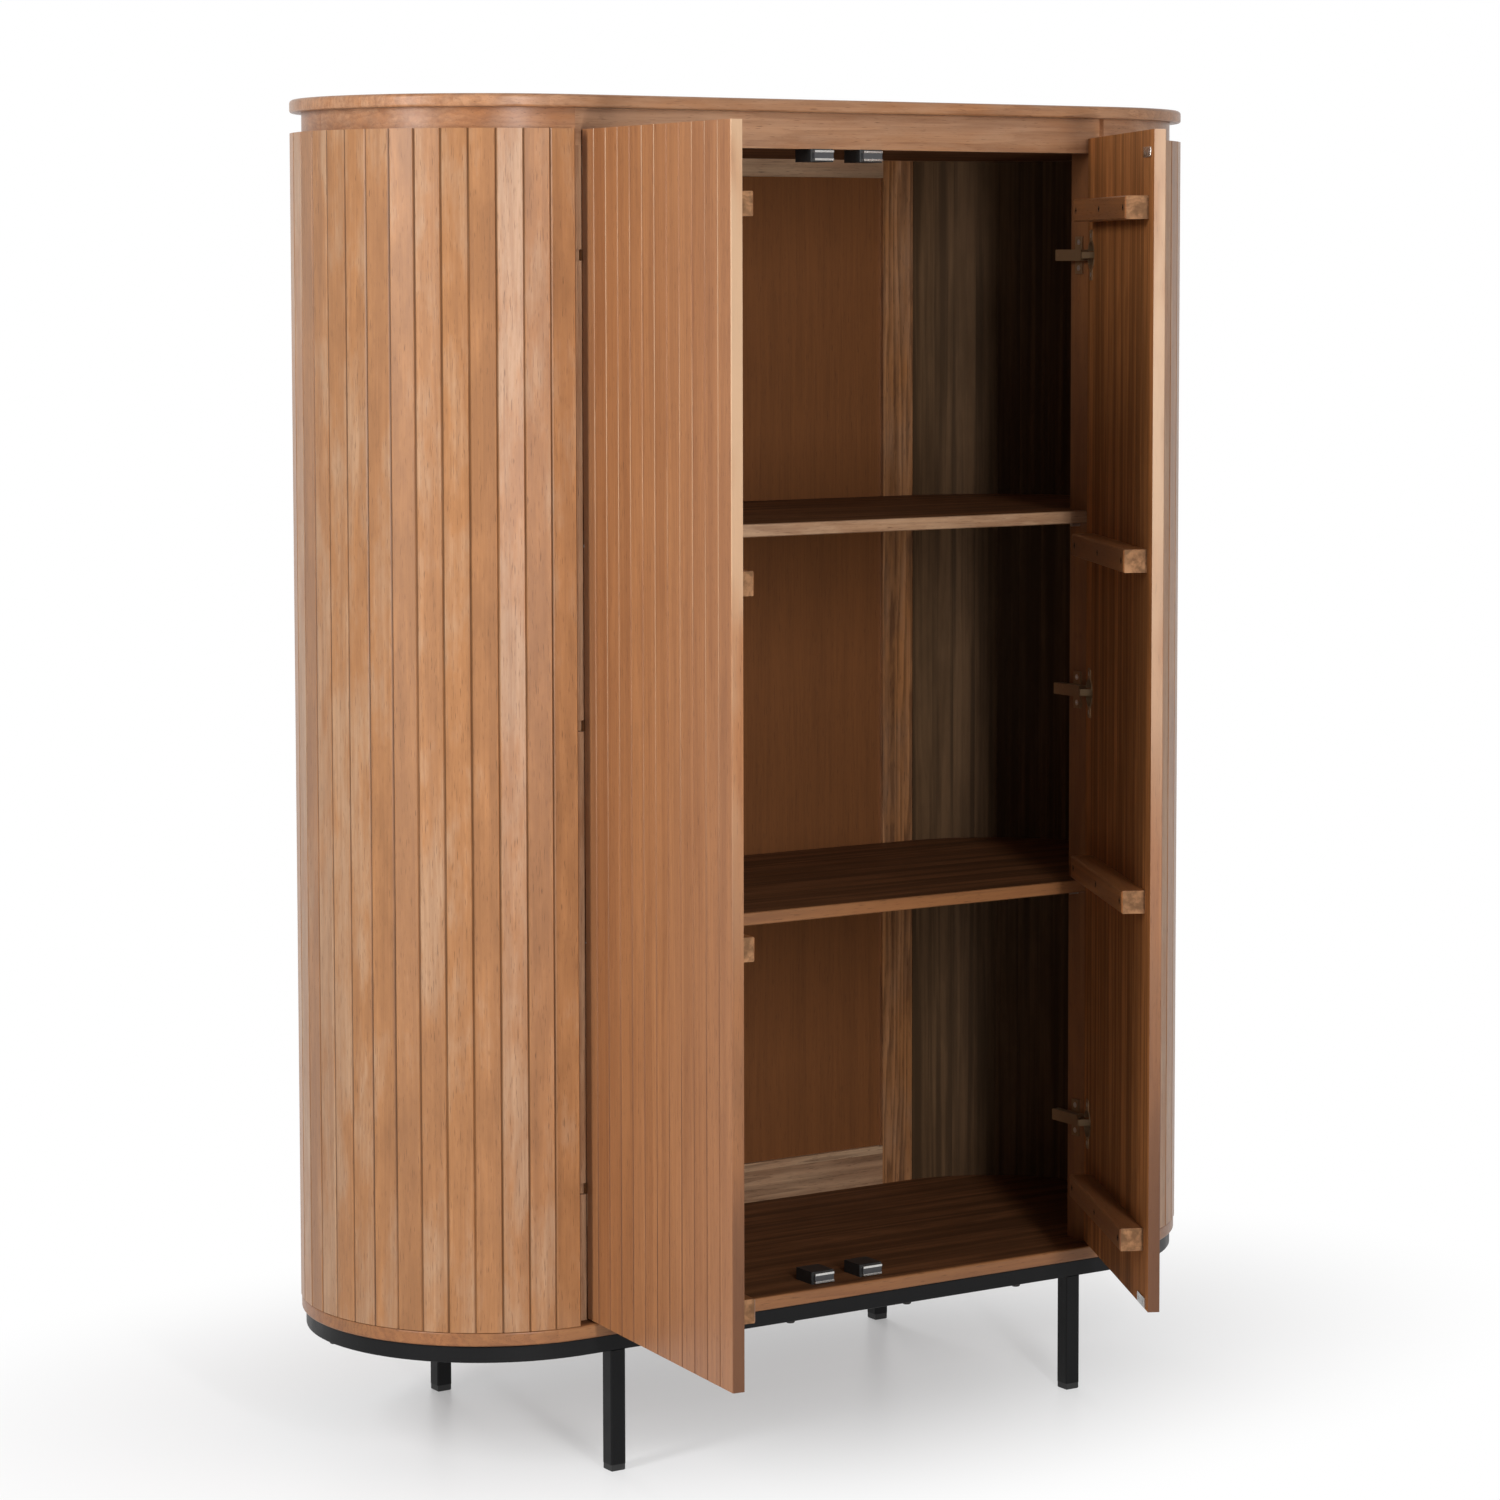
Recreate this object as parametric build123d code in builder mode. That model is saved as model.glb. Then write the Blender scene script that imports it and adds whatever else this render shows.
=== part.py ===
"""Tall storage cabinet with round slatted ends, two slatted doors and a steel ring base.

The cabinet stands on z = 0 with its front towards -Y. The middle of its plan is at x = 0,
y = 0. Left and right are as seen from the front. The doors are drawn open, at their rest
angles. Sizes are in millimetres and angles in degrees.
"""

import os
from math import acos, cos, degrees, radians, sin, sqrt

from build123d import *

# Overall size
cabinet_width = 1210.0
cabinet_depth = 455.0
cabinet_height = 1600.0

# Steel base
foot_height = 8.0
foot_size = 18.5
foot_stem_size = 16.6
foot_stem_length = 24.0
foot_bevel = 1.0
leg_height = 144.0
leg_inset = 45.5
tube_size = 20.0
tube_wall = 1.5
tube_rounding = 1.8
base_setback = 6.0
base_screw_leg_distance = 82.0
base_screw_middle_distance = 85.0

# Boards and rails
bottom_board_thickness = 17.0
bottom_board_setback = 1.0
top_board_thickness = 15.0
top_board_rounding = 4.5
board_rounding = 3.0
ceiling_board_thickness = 12.0
frieze_height = 42.0
frieze_rail_thickness = 20.0
frame_setback = 22.5

# Slats round the ends
slat_thickness = 14.0
slat_frieze_overlap = 18.0
slat_gap = 0.05
end_slat_count = 22
end_slats_start_angle = 1.8
end_slats_end_angle = 176.7
end_slat_bevel = 1.8

# Stiles, back wall and shelves
stile_width = 42.0
stile_depth = 38.0
stile_rounding = 1.5
stile_opening_reach = 14.5
back_stile_width = 47.5
back_stile_gap = 0.4
back_top_rail_height = 40.5
back_bottom_rail_height = 51.5
back_panel_thickness = 6.0
back_panel_recess = 6.0
shelf_thickness = 15.5
bottom_compartment_height = 444.0
top_compartment_height = 441.0
shelf_clearance = 0.5
shelf_bevel = 1.0
shelf_pin_diameter = 5.0
shelf_pin_reach = 12.0
shelf_pin_bite = 9.0
back_pin_inset = 22.0

# Doors
centre_gap = 3.0
door_end_gap = 1.5
door_bottom_gap = 2.5
door_slat_count = 12
door_slat_gap = 0.05
door_slat_bevel = 1.0
left_door_angle = 95.6
right_door_angle = 64.3
bottom_batten_inset = 80.5
top_batten_inset = 89.0
batten_shelf_gap = 10.0
batten_names = ("bottom", "lower", "upper", "top")
batten_height = 27.0
batten_thickness = 28.0
batten_start = 46.0
batten_free_inset = 27.5
batten_bevel = 1.5
batten_first_screw = 16.0
batten_last_screw = 13.0

# Hinges
bottom_hinge_inset = 152.5
top_hinge_inset = 143.0
cup_diameter = 35.0
cup_wall = 0.6
cup_rim_width = 1.2
cup_edge_distance = 22.0
cup_face_skin = 1.8
cup_slot_height = 10.0
cup_ear_width = 14.0
cup_ear_length = 62.0
cup_ear_thickness = 1.2
cup_ear_rounding = 3.0
cup_screw_spacing = 48.0
hinge_pin_diameter = 2.0
hinge_pin_length = 29.8
hinge_pin_edge_distance = 14.0
hinge_eye_diameter = 4.4
hinge_eye_clearance = 0.3
hinge_bore_clearance = 0.08
finger_thickness = 1.8
finger_height = 8.0
finger_angle = 23.8
finger_clearance = 1.4
arm_depth = 52.0
arm_front_inset = 2.0
arm_height = 14.0
arm_thickness = 9.5
arm_bevel = 1.5
plate_depth = 34.0
plate_thickness = 2.5
plate_wing_length = 46.0
plate_wing_width = 14.0
plate_screw_spacing = 32.0
stile_recess_width = 12.0
stile_recess_depth = 8.0
stile_recess_height = 13.0

# Catches and strike plates
catch_centre_x = 35.0
catch_front_gap = 0.5
catch_width = 32.0
catch_height = 15.0
catch_depth = 34.0
catch_housing_reach = 2.0
catch_bevel = 0.8
pole_plate_width = 27.0
pole_plate_thickness = 2.5
pole_plate_depth = 31.5
magnet_height = 7.0
magnet_inset = 1.0
catch_tab_length = 12.0
catch_tab_width = 14.0
catch_tab_thickness = 3.0
strike_width = 38.0
strike_height = 12.0
strike_thickness = 1.5
strike_rounding = 1.5
strike_edge_gap = 1.5
strike_screw_spacing = 22.0

# Countersunk screws: head diameter, shank diameter, length
batten_screw = (8.0, 4.0, 36.0)
door_screw = (6.0, 3.2, 10.5)
plate_screw = (7.0, 3.6, 16.0)
catch_screw = (7.0, 3.2, 11.0)

# Cross recess in a screw head, as shares of the head's diameter
recess_length = 0.6
recess_width = 0.16
recess_depth = 0.16

# Screws that hold the boards on the steel ring
base_screw_head = 11.0
base_screw_head_height = 3.5
base_screw_shank = 5.0
base_screw_bevel = 1.0
base_screw_bite = 11.0

# Plan of the body
end_radius = cabinet_depth / 2
straight_half = cabinet_width / 2 - end_radius
rib_radius = end_radius - slat_thickness
rail_inner_radius = rib_radius - frieze_rail_thickness
frame_front = -(end_radius - frame_setback)
stile_inner_x = straight_half - stile_opening_reach
stile_middle_x = stile_inner_x + stile_width / 2
stile_back = frame_front + stile_depth

# Back stiles end a small gap short of the last slats
last_slat_reach = rib_radius * sin(radians(180 - end_slats_end_angle))
back_stile_inner_x = straight_half + last_slat_reach - back_stile_gap - back_stile_width

# Levels of the body
ring_top = leg_height + tube_size
board_top = ring_top + bottom_board_thickness
top_board_bottom = cabinet_height - top_board_thickness
frieze_bottom = top_board_bottom - frieze_height
slat_top = frieze_bottom + slat_frieze_overlap
lower_shelf_bottom = board_top + bottom_compartment_height
upper_shelf_bottom = frieze_bottom - top_compartment_height - shelf_thickness

# Plan of the steel ring
ring_radius = end_radius - base_setback - tube_size / 2
tube_hollow = tube_size - 2 * tube_wall
leg_centre_x = straight_half - leg_inset

# Closed doors, measured from the hinge axis
door_hinge_edge = straight_half - door_end_gap
door_width = door_hinge_edge - centre_gap / 2
door_bottom = board_top + door_bottom_gap
door_height = slat_top - door_bottom
door_slat_width = (door_width - (door_slat_count - 1) * door_slat_gap) / door_slat_count
axis_depth = cup_face_skin + cup_wall + hinge_eye_diameter / 2 + hinge_eye_clearance
axis_x = door_hinge_edge - hinge_pin_edge_distance
axis_y = -end_radius + axis_depth
door_outer = -axis_depth
door_inner = door_outer + slat_thickness
cup_depth = slat_thickness - cup_face_skin
strike_face = axis_y + door_inner + strike_thickness
bottom_hinge = door_bottom + bottom_hinge_inset
top_hinge = slat_top - top_hinge_inset
hinge_heights = (bottom_hinge, (bottom_hinge + top_hinge) / 2, top_hinge)
batten_end = door_width - batten_free_inset
first_batten_screw = batten_start + batten_first_screw
last_batten_screw = batten_end - batten_last_screw
middle_batten_screw = (first_batten_screw + last_batten_screw) / 2
batten_screw_places = (first_batten_screw, middle_batten_screw, last_batten_screw)
batten_heights = (
    door_bottom + bottom_batten_inset,
    lower_shelf_bottom + shelf_thickness + batten_shelf_gap + batten_height / 2,
    upper_shelf_bottom - batten_shelf_gap - batten_height / 2,
    slat_top - top_batten_inset,
)

SIDES = (("left", -1, -left_door_angle), ("right", 1, right_door_angle))


def door_frame(side, angle):
    """Plane on the hinge axis that turns with the door: X along the closed front, Y inwards."""
    turned = Vector(1, 0, 0).rotate(Axis.Z, angle)
    return Plane(origin=(side * axis_x, axis_y, 0), x_dir=turned, z_dir=(0, 0, 1))


def along_door(side, distance):
    """Place across the closed door, from the hinge axis, for a distance from its hinge edge."""
    return side * (hinge_pin_edge_distance - distance)


def door_face(frame, x, y, z):
    """Plane on a door face with its Z pointing into the cabinet when the door is closed."""
    return Plane(origin=frame.from_local_coords((x, y, z)), x_dir=frame.x_dir, z_dir=frame.y_dir)


def screws(planes, size, mode=Mode.ADD):
    """Countersunk screws with heads flush in the planes, whose Z points out of the wood."""
    head, shank, length = size
    taper = (head - shank) / 2
    with Locations(*planes):
        Cylinder(shank / 2, length, align=(Align.CENTER, Align.CENTER, Align.MAX), mode=mode)
        Cone(
            shank / 2, head / 2, taper, align=(Align.CENTER, Align.CENTER, Align.MAX), mode=mode
        )


def drive_recesses(planes, size):
    """Cross recesses in the heads of screws."""
    head = size[0]
    for spin in (0, 90):
        with Locations(*[plane.rotated((0, 0, spin)) for plane in planes]):
            Box(
                head * recess_length,
                head * recess_width,
                head * recess_depth,
                align=(Align.CENTER, Align.CENTER, Align.MAX),
                mode=Mode.SUBTRACT,
            )


def keep_end(side, reach):
    """Cut a ring sketch back to the half beyond the given distance from the middle."""
    with Locations((side * reach, 0)):
        Rectangle(
            2 * end_radius,
            2 * end_radius,
            align=(Align.MAX if side > 0 else Align.MIN, Align.CENTER),
            mode=Mode.SUBTRACT,
        )


def write(part, name):
    """Label a finished piece and write it to its own file."""
    part.label = name
    export_step(part, f"parts/{name}.step")


os.makedirs("parts", exist_ok=True)

# Legs and foot plugs

for depth_name, depth_side in (("front", -1), ("back", 1)):
    for side_name, side, angle in SIDES:
        with BuildPart() as leg:
            with BuildSketch(Plane.XY.offset(foot_height)):
                with Locations((side * leg_centre_x, depth_side * ring_radius)):
                    RectangleRounded(tube_size, tube_size, tube_rounding)
                    Rectangle(tube_hollow, tube_hollow, mode=Mode.SUBTRACT)
            extrude(amount=leg_height - foot_height)
        write(leg.part, f"{depth_name}_{side_name}_leg")

with BuildPart() as foot_plugs:
    with BuildSketch(Plane.XY):
        with GridLocations(2 * leg_centre_x, 2 * ring_radius, 2, 2):
            Rectangle(foot_size, foot_size)
    extrude(amount=foot_height)
    chamfer(foot_plugs.faces().group_by(Axis.Z)[0].edges(), foot_bevel)
    with BuildSketch(Plane.XY.offset(foot_height)):
        with GridLocations(2 * leg_centre_x, 2 * ring_radius, 2, 2):
            Rectangle(foot_stem_size, foot_stem_size)
    extrude(amount=foot_stem_length)
write(foot_plugs.part, "foot_plugs")

# Steel ring: two straight tubes and two half-round ones, with holes for the base screws

ring_middle = leg_height + tube_size / 2
outer_screw_x = leg_centre_x - base_screw_leg_distance
base_screw_xs = (
    -outer_screw_x,
    -base_screw_middle_distance,
    base_screw_middle_distance,
    outer_screw_x,
)
front_screw_spots = [(x, -ring_radius) for x in base_screw_xs]
back_screw_spots = [(x, ring_radius) for x in base_screw_xs]
end_screw_spots = [(side * (straight_half + ring_radius), 0) for side in (-1, 1)]
base_screw_spots = front_screw_spots + back_screw_spots + end_screw_spots
base_shank_length = tube_size + base_screw_bite

for depth_name, depth_side in (("front", -1), ("back", 1)):
    with BuildPart() as straight_tube:
        with BuildSketch(Plane.YZ.offset(-straight_half)):
            with Locations((depth_side * ring_radius, ring_middle)):
                RectangleRounded(tube_size, tube_size, tube_rounding)
                Rectangle(tube_hollow, tube_hollow, mode=Mode.SUBTRACT)
        extrude(amount=2 * straight_half)
        with Locations(*[(x, y, leg_height) for x, y in base_screw_spots]):
            Cylinder(
                base_screw_shank / 2,
                base_shank_length,
                align=(Align.CENTER, Align.CENTER, Align.MIN),
                mode=Mode.SUBTRACT,
            )
    write(straight_tube.part, f"{depth_name}_base_tube")

for side_name, side, angle in SIDES:
    with BuildPart() as round_tube:
        with BuildSketch(Plane.YZ.offset(side * straight_half)):
            with Locations((-side * ring_radius, ring_middle)):
                RectangleRounded(tube_size, tube_size, tube_rounding)
                Rectangle(tube_hollow, tube_hollow, mode=Mode.SUBTRACT)
        revolve(axis=Axis((side * straight_half, 0, 0), (0, 0, 1)), revolution_arc=180)
        with Locations(*[(x, y, leg_height) for x, y in end_screw_spots]):
            Cylinder(
                base_screw_shank / 2,
                base_shank_length,
                align=(Align.CENTER, Align.CENTER, Align.MIN),
                mode=Mode.SUBTRACT,
            )
    write(round_tube.part, f"{side_name}_base_tube")

with BuildPart() as base_screws:
    with Locations(*[(x, y, leg_height) for x, y in base_screw_spots]):
        Cylinder(
            base_screw_shank / 2,
            base_shank_length,
            align=(Align.CENTER, Align.CENTER, Align.MIN),
        )
        Cylinder(
            base_screw_head / 2,
            base_screw_head_height,
            align=(Align.CENTER, Align.CENTER, Align.MAX),
        )
    chamfer(base_screws.faces().group_by(Axis.Z)[0].edges(), base_screw_bevel)
write(base_screws.part, "base_screws")

# Catches: two under the frieze and two on the bottom board

catch_front = strike_face + catch_front_gap
housing_front = frame_front - catch_housing_reach
housing_back = housing_front + catch_depth
tab_middle = housing_back + catch_tab_length / 2
catch_levels = ((frieze_bottom, -1), (board_top, 1))
catch_seats = [(x, level, up) for level, up in catch_levels for x in (-catch_centre_x, catch_centre_x)]
stack_height = magnet_height + 2 * pole_plate_thickness
tab_planes = [
    Plane(origin=(x, tab_middle, level + up * catch_tab_thickness), z_dir=(0, 0, up))
    for x, level, up in catch_seats
]

with BuildPart() as catch_housings:
    for x, level, up in catch_seats:
        with Locations((x, housing_front, level + up * catch_height / 2)):
            Box(catch_width, catch_depth, catch_height, align=(Align.CENTER, Align.MIN, Align.CENTER))
        with Locations((x, housing_back, level + up * catch_tab_thickness / 2)):
            Box(
                catch_tab_width,
                catch_tab_length,
                catch_tab_thickness,
                align=(Align.CENTER, Align.MIN, Align.CENTER),
            )
    chamfer(catch_housings.edges().filter_by(Axis.Z).group_by(Axis.Y)[0], catch_bevel)
    with Locations(*[(x, catch_front, level + up * catch_height / 2) for x, level, up in catch_seats]):
        Box(
            pole_plate_width,
            pole_plate_depth,
            stack_height,
            align=(Align.CENTER, Align.MIN, Align.CENTER),
            mode=Mode.SUBTRACT,
        )
    screws(tab_planes, catch_screw, Mode.SUBTRACT)
write(catch_housings.part, "catch_housings")

with BuildPart() as catch_pole_plates:
    for x, level, up in catch_seats:
        middle = level + up * catch_height / 2
        with Locations((x, catch_front, middle)):
            Box(
                pole_plate_width,
                pole_plate_depth,
                stack_height,
                align=(Align.CENTER, Align.MIN, Align.CENTER),
            )
            Box(
                pole_plate_width,
                pole_plate_depth,
                magnet_height,
                align=(Align.CENTER, Align.MIN, Align.CENTER),
                mode=Mode.SUBTRACT,
            )
write(catch_pole_plates.part, "catch_pole_plates")

with BuildPart() as catch_magnets:
    for x, level, up in catch_seats:
        with Locations((x, catch_front + magnet_inset, level + up * catch_height / 2)):
            Box(
                pole_plate_width,
                pole_plate_depth - magnet_inset,
                magnet_height,
                align=(Align.CENTER, Align.MIN, Align.CENTER),
            )
write(catch_magnets.part, "catch_magnets")

with BuildPart() as catch_screws:
    screws(tab_planes, catch_screw)
    drive_recesses(tab_planes, catch_screw)
write(catch_screws.part, "catch_screws")

# Bottom board, ceiling board and top board

with BuildPart() as bottom_board:
    with BuildSketch(Plane.XY.offset(ring_top)):
        SlotCenterToCenter(2 * straight_half, 2 * (end_radius - bottom_board_setback))
    extrude(amount=bottom_board_thickness)
    fillet(bottom_board.faces().sort_by(Axis.Z)[-1].edges(), board_rounding)
    fillet(bottom_board.faces().sort_by(Axis.Z)[0].edges(), board_rounding)
    with Locations(*[(x, y, ring_top) for x, y in base_screw_spots]):
        Cylinder(
            base_screw_shank / 2,
            base_screw_bite,
            align=(Align.CENTER, Align.CENTER, Align.MIN),
            mode=Mode.SUBTRACT,
        )
    screws(tab_planes[2:], catch_screw, Mode.SUBTRACT)
write(bottom_board.part, "bottom_board")

with BuildPart() as ceiling_board:
    with BuildSketch(Plane.XY.offset(frieze_bottom)):
        SlotCenterToCenter(2 * straight_half, 2 * rail_inner_radius)
        with Locations((0, frame_front + frieze_rail_thickness)):
            Rectangle(
                2 * straight_half,
                end_radius,
                align=(Align.CENTER, Align.MAX),
                mode=Mode.SUBTRACT,
            )
    extrude(amount=ceiling_board_thickness)
    screws(tab_planes[:2], catch_screw, Mode.SUBTRACT)
write(ceiling_board.part, "ceiling_board")

with BuildPart() as top_board:
    with BuildSketch(Plane.XY.offset(top_board_bottom)):
        SlotCenterToCenter(2 * straight_half, 2 * end_radius)
    extrude(amount=top_board_thickness)
    fillet(top_board.faces().sort_by(Axis.Z)[-1].edges(), top_board_rounding)
    fillet(top_board.faces().sort_by(Axis.Z)[0].edges(), board_rounding)
write(top_board.part, "top_board")

# Frieze rails under the top board

for depth_name, rail_edge, grow in (
    ("front", frame_front, Align.MIN),
    ("back", rib_radius, Align.MAX),
):
    with BuildPart() as frieze_rail:
        with BuildSketch(Plane.XY.offset(frieze_bottom)):
            with Locations((0, rail_edge)):
                Rectangle(2 * straight_half, frieze_rail_thickness, align=(Align.CENTER, grow))
        extrude(amount=frieze_height)
    write(frieze_rail.part, f"{depth_name}_frieze_rail")

for side_name, side, angle in SIDES:
    with BuildPart() as frieze_curve:
        with BuildSketch(Plane.XY.offset(frieze_bottom)):
            with Locations((side * straight_half, 0)):
                Circle(rib_radius)
                Circle(rail_inner_radius, mode=Mode.SUBTRACT)
            keep_end(side, straight_half)
        extrude(amount=frieze_height)
    write(frieze_curve.part, f"{side_name}_frieze_rail")

# Slats round the ends: flat faces, bevelled long edges, radial sides and rounded backs

slat_pitch = (end_slats_end_angle - end_slats_start_angle) / end_slat_count
slat_half_angle = slat_pitch / 2 - degrees(slat_gap / 2 / end_radius)
slat_half_width = end_radius * sin(radians(slat_half_angle))
face_half_width = slat_half_width - end_slat_bevel
face_distance = sqrt(end_radius**2 - face_half_width**2)
bevel_radius = end_radius - end_slat_bevel
bevel_x = bevel_radius * cos(radians(slat_half_angle))
bevel_y = bevel_radius * sin(radians(slat_half_angle))
back_x = rib_radius * cos(radians(slat_half_angle))
back_y = rib_radius * sin(radians(slat_half_angle))
first_slat_angle = end_slats_start_angle + slat_pitch / 2

with BuildSketch() as end_slat_plan:
    with BuildLine():
        Polyline(
            (back_x, -back_y),
            (bevel_x, -bevel_y),
            (face_distance, -face_half_width),
            (face_distance, face_half_width),
            (bevel_x, bevel_y),
            (back_x, back_y),
        )
        ThreePointArc((back_x, back_y), (rib_radius, 0), (back_x, -back_y))
    make_face()

for side_name, side, angle in SIDES:
    with BuildPart() as end_slats:
        with BuildSketch(Plane.XY.offset(board_top)):
            with Locations((side * straight_half, 0)):
                with PolarLocations(
                    0,
                    end_slat_count,
                    start_angle=side * first_slat_angle - 90,
                    angular_range=side * (end_slat_count - 1) * slat_pitch,
                    endpoint=True,
                ):
                    add(end_slat_plan.sketch)
        extrude(amount=slat_top - board_top)
    write(end_slats.part, f"{side_name}_end_slats")

# Shelf pins: two in the front stiles and two in the back stiles, under each shelf

shelf_bottoms = (lower_shelf_bottom, upper_shelf_bottom)
front_pin_y = (frame_front + stile_back) / 2
back_pin_x = back_stile_inner_x + back_pin_inset
pin_length = shelf_pin_reach + shelf_pin_bite
front_pin_planes = [
    Plane(
        origin=(side * (stile_inner_x + shelf_pin_bite), front_pin_y, bottom - shelf_pin_diameter / 2),
        z_dir=(-side, 0, 0),
    )
    for bottom in shelf_bottoms
    for side in (-1, 1)
]
back_pin_planes = [
    Plane(
        origin=(side * back_pin_x, rib_radius + shelf_pin_bite, bottom - shelf_pin_diameter / 2),
        z_dir=(0, -1, 0),
    )
    for bottom in shelf_bottoms
    for side in (-1, 1)
]


def shelf_pins_at(planes, mode=Mode.ADD):
    """Round pins that start in the wood and reach out under the shelf."""
    with Locations(*planes):
        Cylinder(
            shelf_pin_diameter / 2,
            pin_length,
            align=(Align.CENTER, Align.CENTER, Align.MIN),
            mode=mode,
        )


with BuildPart() as shelf_pins:
    shelf_pins_at(front_pin_planes + back_pin_planes)
write(shelf_pins.part, "shelf_pins")

# Hinge mounting plates and arms on the inner faces of the front stiles

arm_front = frame_front + arm_front_inset
plate_y = arm_front + plate_depth / 2
arm_y = arm_front + arm_depth / 2
plate_face_x = stile_inner_x - plate_thickness

# The finger leaves the cup, then bends round the sweep of the door's edge into the arm
finger_radius = (
    sqrt(hinge_pin_edge_distance**2 + door_inner**2) + finger_clearance + finger_thickness / 2
)
finger_end_x = axis_x - plate_face_x + arm_thickness / 2
finger_end_angle = degrees(acos(finger_end_x / finger_radius))


def hinge_planes(y, lift):
    """Planes on the room side of the mounting plates, at the given depth and lift."""
    return [
        Plane(
            origin=(side * plate_face_x, y, height + lift), x_dir=(0, 1, 0), z_dir=(-side, 0, 0)
        )
        for side_name, side, angle in SIDES
        for height in hinge_heights
    ]


def finger_point(side, angle):
    """Point of the finger's bend, by its angle from the closed door."""
    return (
        side * (axis_x - finger_radius * cos(radians(angle))),
        axis_y + finger_radius * sin(radians(angle)),
    )


plate_screw_planes = hinge_planes(plate_y, -plate_screw_spacing / 2) + hinge_planes(
    plate_y, plate_screw_spacing / 2
)

with BuildPart() as mounting_plates:
    for plane in hinge_planes(plate_y, 0):
        with BuildSketch(plane):
            Rectangle(plate_depth, arm_height)
            Rectangle(plate_wing_width, plate_wing_length)
        extrude(amount=-plate_thickness)
    screws(plate_screw_planes, plate_screw, Mode.SUBTRACT)
write(mounting_plates.part, "hinge_mounting_plates")

with BuildPart() as plate_screws:
    screws(plate_screw_planes, plate_screw)
    drive_recesses(plate_screw_planes, plate_screw)
write(plate_screws.part, "hinge_plate_screws")

with BuildPart() as hinge_arms:
    for side_name, side, angle in SIDES:
        bend = [
            finger_point(side, place)
            for place in (finger_angle, (finger_angle + finger_end_angle) / 2, finger_end_angle)
        ]
        for height in hinge_heights:
            with BuildSketch(Plane.XY.offset(height - finger_height / 2)):
                with BuildLine():
                    Line((side * axis_x, axis_y), bend[0])
                    ThreePointArc(*bend)
                    Line(bend[-1], (bend[-1][0], arm_front + arm_bevel))
                trace(line_width=finger_thickness)
                with Locations(bend[0], bend[-1]):
                    Circle(finger_thickness / 2)
                with Locations((side * axis_x, axis_y)):
                    Circle(hinge_eye_diameter / 2)
                    Circle(hinge_pin_diameter / 2 + hinge_bore_clearance, mode=Mode.SUBTRACT)
            extrude(amount=finger_height)
    for plane in hinge_planes(arm_y, 0):
        with BuildSketch(plane):
            RectangleRounded(arm_depth, arm_height, arm_bevel)
        extrude(amount=arm_thickness)
write(hinge_arms.part, "hinge_arms")

# Front stiles, with holes for screws and pins, and a recess in front of each hinge

for side_name, side, angle in SIDES:
    with BuildPart() as front_stile:
        with BuildSketch(Plane.XY.offset(board_top)):
            with Locations((side * stile_middle_x, frame_front)):
                Rectangle(stile_width, stile_depth, align=(Align.CENTER, Align.MIN))
        extrude(amount=frieze_bottom - board_top)
        fillet(front_stile.edges().filter_by(Axis.Z), stile_rounding)
        with Locations(*[(side * stile_inner_x, frame_front, height) for height in hinge_heights]):
            Box(
                2 * stile_recess_width,
                2 * stile_recess_depth,
                stile_recess_height,
                mode=Mode.SUBTRACT,
            )
        screws(plate_screw_planes, plate_screw, Mode.SUBTRACT)
        shelf_pins_at(front_pin_planes, Mode.SUBTRACT)
    write(front_stile.part, f"front_{side_name}_stile")

# Back wall: two stiles, two rails and an inset panel

back_middle_y = rib_radius + slat_thickness / 2
back_stile_middle_x = back_stile_inner_x + back_stile_width / 2
panel_bottom = board_top + back_bottom_rail_height
panel_top = slat_top - back_top_rail_height

for side_name, side, angle in SIDES:
    with BuildPart() as back_stile:
        with BuildSketch(Plane.XY.offset(board_top)):
            with Locations((side * back_stile_middle_x, back_middle_y)):
                Rectangle(back_stile_width, slat_thickness)
        extrude(amount=slat_top - board_top)
        shelf_pins_at(back_pin_planes, Mode.SUBTRACT)
    write(back_stile.part, f"back_{side_name}_stile")

for rail_name, low, high in (
    ("back_bottom_rail", board_top, panel_bottom),
    ("back_top_rail", panel_top, slat_top),
):
    with BuildPart() as back_rail:
        with BuildSketch(Plane.XY.offset(low)):
            with Locations((0, back_middle_y)):
                Rectangle(2 * back_stile_inner_x, slat_thickness)
        extrude(amount=high - low)
    write(back_rail.part, rail_name)

with BuildPart() as back_panel:
    with BuildSketch(Plane.XY.offset(panel_bottom)):
        with Locations((0, rib_radius + back_panel_recess)):
            Rectangle(
                2 * back_stile_inner_x, back_panel_thickness, align=(Align.CENTER, Align.MIN)
            )
    extrude(amount=panel_top - panel_bottom)
write(back_panel.part, "back_panel")

# Shelves: round ends inside the slats, a straight front edge, notched round the front stiles

for shelf_name, shelf_bottom in (
    ("lower_shelf", lower_shelf_bottom),
    ("upper_shelf", upper_shelf_bottom),
):
    with BuildPart() as shelf:
        with BuildSketch(Plane.XY.offset(shelf_bottom)):
            SlotCenterToCenter(2 * straight_half, 2 * (rib_radius - shelf_clearance))
            with Locations((0, frame_front)):
                Rectangle(
                    2 * straight_half,
                    end_radius,
                    align=(Align.CENTER, Align.MAX),
                    mode=Mode.SUBTRACT,
                )
            for side in (-1, 1):
                with Locations((side * stile_middle_x, stile_back + shelf_clearance)):
                    Rectangle(
                        stile_width + 2 * shelf_clearance,
                        end_radius,
                        align=(Align.CENTER, Align.MAX),
                        mode=Mode.SUBTRACT,
                    )
        extrude(amount=shelf_thickness)
        chamfer(shelf.edges().filter_by(Axis.X).group_by(Axis.Y)[0], shelf_bevel)
    write(shelf.part, shelf_name)

# Doors: every piece is placed in a frame on the hinge axis that has turned with the door

slat_step = door_slat_width + door_slat_gap
first_slat_middle = door_slat_width / 2
strike_middle = door_hinge_edge - catch_centre_x
strike_levels = (
    door_bottom + strike_edge_gap + strike_height / 2,
    frieze_bottom - catch_height / 2,
)

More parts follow.
